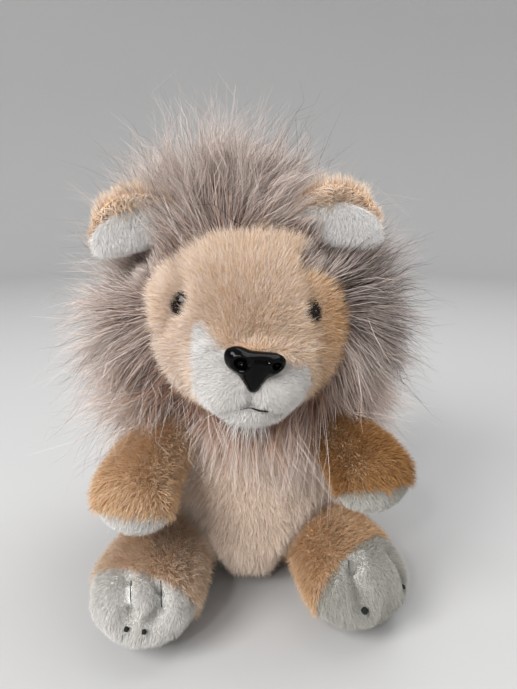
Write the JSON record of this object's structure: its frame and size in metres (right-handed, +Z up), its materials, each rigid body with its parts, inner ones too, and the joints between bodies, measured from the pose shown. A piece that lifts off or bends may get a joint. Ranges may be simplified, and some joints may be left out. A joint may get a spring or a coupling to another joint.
{
  "type": "plush lion",
  "caption": "Small sitting plush lion with a long-pile mane, white muzzle, two-layer ears, stuffed limbs and a tufted tail; head, limbs, ears and tail flex at their seams.",
  "frame": {"origin": "middle of the torso's flat base, on the surface the lion sits on", "axes": "+Z up, -Y the way the face looks, +X to the right as seen from the front"},
  "size_m": [0.1528, 0.1272, 0.2],
  "materials": {
    "tan": "short tan pile",
    "cream": "longer cream pile",
    "white": "short white pile",
    "mane": "long grey-brown pile",
    "filling": "fibre filling",
    "lining": "woven pouch of plastic beans",
    "gloss_black": "gloss",
    "eye_brown": "gloss",
    "washer": "natural plastic",
    "thread": "dark stitching thread"
  },
  "bodies": {
    "torso": {"torso_shell": "cream", "torso_filling": "filling", "bean_pouch": "lining"},
    "head": {"head_shell": "tan", "head_filling": "filling", "muzzle_shell": "white", "muzzle_filling": "filling", "nose": "gloss_black", "nose_washer": "washer", "eye_left": "eye_brown", "eye_left_washer": "washer", "eye_right": "eye_brown", "eye_right_washer": "washer", "mouth_thread": "thread", "mane": "mane", "mane_nape": "mane"},
    "tail": {"tail": "tan", "tail_tuft": "mane"},
    "arm_left": {"arm_left_shell": "tan", "palm_left_patch": "white", "arm_left_filling": "filling"},
    "leg_left": {"leg_left_shell": "tan", "foot_left_cap": "white", "leg_left_filling": "filling", "toe_thread_left_inner": "thread", "toe_thread_left_outer": "thread", "toe_knot_left_inner": "thread", "toe_knot_left_outer": "thread"},
    "ear_left": {"ear_left_back": "tan", "ear_left_lining": "white"},
    "arm_right": {"arm_right_shell": "tan", "palm_right_patch": "white", "arm_right_filling": "filling"},
    "leg_right": {"leg_right_shell": "tan", "foot_right_cap": "white", "leg_right_filling": "filling", "toe_thread_right_inner": "thread", "toe_thread_right_outer": "thread", "toe_knot_right_inner": "thread", "toe_knot_right_outer": "thread"},
    "ear_right": {"ear_right_back": "tan", "ear_right_lining": "white"}
  },
  "joints": [
    {"name": "head_turn", "type": "hinge", "parent": "torso", "child": "head", "pos_m": [0, 0, 0.089], "axis": [0, 0, 1], "range_deg": [-20, 20], "stiffness_Nm_per_rad": 0.06},
    {"name": "arm_left_lift", "type": "hinge", "parent": "torso", "child": "arm_left", "pos_m": [-0.02786, -0.00802, 0.06882], "axis": [-0.839, -0.3995, 0.3695], "range_deg": [0, 20], "stiffness_Nm_per_rad": 0.01},
    {"name": "arm_right_lift", "type": "hinge", "parent": "torso", "child": "arm_right", "pos_m": [0.02771, -0.00687, 0.0704], "axis": [-0.839, 0.3995, -0.3695], "range_deg": [0, 13], "stiffness_Nm_per_rad": 0.01},
    {"name": "leg_left_droop", "type": "hinge", "parent": "torso", "child": "leg_left", "pos_m": [-0.0316, -0.01226, 0.0185], "axis": [-0.7505, -0.5604, -0.3502], "range_deg": [-25, 0], "stiffness_Nm_per_rad": 0.03},
    {"name": "leg_right_droop", "type": "hinge", "parent": "torso", "child": "leg_right", "pos_m": [0.03116, -0.01285, 0.0185], "axis": [-0.7505, 0.5604, 0.3502], "range_deg": [-25, 0], "stiffness_Nm_per_rad": 0.03},
    {"name": "ear_left_flop", "type": "hinge", "parent": "head", "child": "ear_left", "pos_m": [-0.04441, -0.01341, 0.15264], "axis": [0.9464, 0, 0.3231], "range_deg": [-12, 12], "stiffness_Nm_per_rad": 0.006},
    {"name": "ear_right_flop", "type": "hinge", "parent": "head", "child": "ear_right", "pos_m": [0.03377, -0.01454, 0.15256], "axis": [0.9983, 0, -0.0587], "range_deg": [-12, 12], "stiffness_Nm_per_rad": 0.006},
    {"name": "tail_swing", "type": "hinge", "parent": "torso", "child": "tail", "pos_m": [0, 0.04407, 0.0126], "axis": [0, 0, 1], "range_deg": [0, 40], "stiffness_Nm_per_rad": 0.004}
  ]
}
